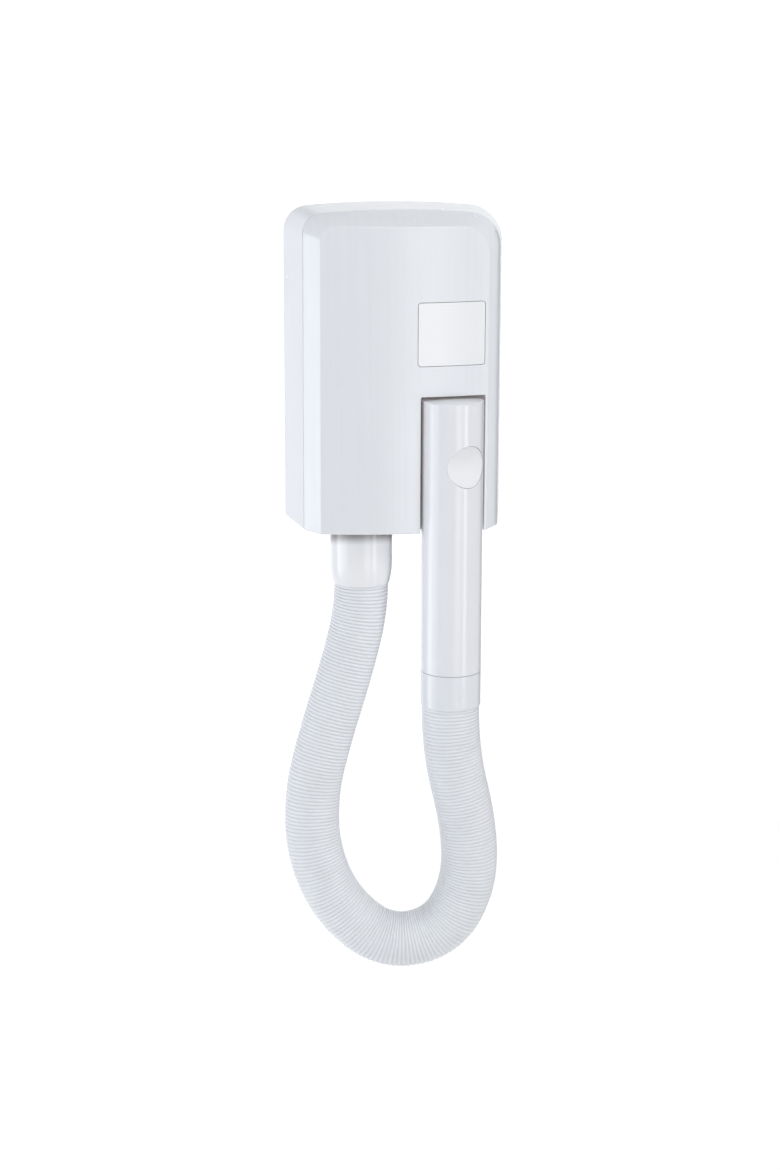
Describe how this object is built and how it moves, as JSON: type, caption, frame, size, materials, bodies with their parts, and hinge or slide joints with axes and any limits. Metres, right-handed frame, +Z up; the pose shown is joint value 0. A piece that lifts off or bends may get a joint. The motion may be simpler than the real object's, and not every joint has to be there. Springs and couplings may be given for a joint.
{
  "type": "hose hair dryer",
  "caption": "Wall-mounted hair dryer: a shallow housing with blower, heater and controls, a ribbed air hose and a tubular handset parked in a front cradle.",
  "frame": {"origin": "centre of the four wall-screw holes, on the back face of the housing", "axes": "+Z up, +X to the right as seen from the room, the front faces -Y, +Y points into the wall"},
  "size_m": [0.1655, 0.088, 0.5671],
  "materials": {
    "shell_abs": "glossy off-white ABS mouldings",
    "button_abs": "satin white ABS",
    "hose_vinyl": "white vinyl helix hose",
    "inner_plastic": "plain white moulding",
    "fan_nylon": "black glass-filled nylon",
    "duct_resin": "dark heat-resistant resin",
    "mica": "mica sheet",
    "nichrome": "oxidised resistance wire",
    "screw_steel": "zinc-plated steel",
    "motor_steel": "zinc-plated can",
    "shaft_steel": "ground steel",
    "bronze": "sintered bronze",
    "ferrite": "sintered ferrite",
    "keeper_steel": "zinc-plated sheet",
    "laminate": "glass-epoxy laminate with green lacquer",
    "part_black": "black epoxy",
    "part_blue": "blue moulding",
    "part_yellow": "yellow film capacitor case",
    "part_natural": "natural nylon",
    "foam": "open-cell filter foam",
    "soft_rubber": "soft black rubber"
  },
  "bodies": {
    "housing": {"rear_housing": "shell_abs", "front_cover": "shell_abs", "cover_screws": "screw_steel", "blanking_plate": "shell_abs", "handset_cradle": "shell_abs", "cradle_screws": "screw_steel", "parking_switch": "part_black", "cradle_magnet": "ferrite", "inlet_grille": "shell_abs", "inlet_filter": "foam", "cable_grommet": "soft_rubber", "cable_clamp": "inner_plastic", "clamp_screws": "screw_steel", "terminal_block": "part_natural", "terminal_screws": "screw_steel", "control_board": "laminate", "board_screws": "screw_steel", "board_relay": "part_blue", "board_capacitor": "part_yellow", "board_connector": "part_natural", "board_controller": "part_black", "scroll_base": "fan_nylon", "scroll_lid": "fan_nylon", "blower_screws": "screw_steel", "motor_body": "motor_steel", "motor_bearings": "bronze", "motor_screws": "screw_steel", "heater_duct": "duct_resin", "mica_sleeve": "mica", "heater_frame": "mica", "heater_coil": "nichrome", "thermostat": "screw_steel", "thermal_fuse": "shaft_steel", "hose_spout": "shell_abs", "air_hose": "hose_vinyl"},
    "handset": {"handset_shell": "shell_abs", "handset_cap": "shell_abs", "outlet_grille": "shell_abs", "outlet_frame": "inner_plastic", "button_guide": "inner_plastic", "handset_switch": "part_black", "keeper_plate": "keeper_steel", "retaining_ring": "shaft_steel"},
    "button": {"thumb_button": "button_abs"},
    "collar": {"swivel_collar": "shell_abs"},
    "rotor": {"impeller": "fan_nylon", "motor_shaft": "shaft_steel"},
    "plunger": {"parking_plunger": "part_natural"}
  },
  "joints": [
    {"name": "handset_lift", "type": "slide", "parent": "housing", "child": "handset", "axis": [0, -1, 0], "range_m": [0, 0.05]},
    {"name": "button_press", "type": "slide", "parent": "handset", "child": "button", "axis": [-0.4163, 0.9092, 0], "range_m": [0, 0.0025], "stiffness_N_per_m": 500, "springref_m": -0.001},
    {"name": "collar_swivel", "type": "hinge", "parent": "handset", "child": "collar", "pos_m": [0.0346, -0.066, -0.2312], "axis": [0, 0, 1], "continuous": true},
    {"name": "rotor_spin", "type": "hinge", "parent": "housing", "child": "rotor", "pos_m": [0.0085, -0.03, 0.052], "axis": [0, -1, 0], "continuous": true},
    {"name": "plunger_press", "type": "slide", "parent": "housing", "child": "plunger", "axis": [0, -1, 0], "range_m": [0, 0.003]}
  ],
  "couplings": [
    {"joint": "plunger_press", "follows": "handset_lift", "ratio": 0.06}
  ]
}
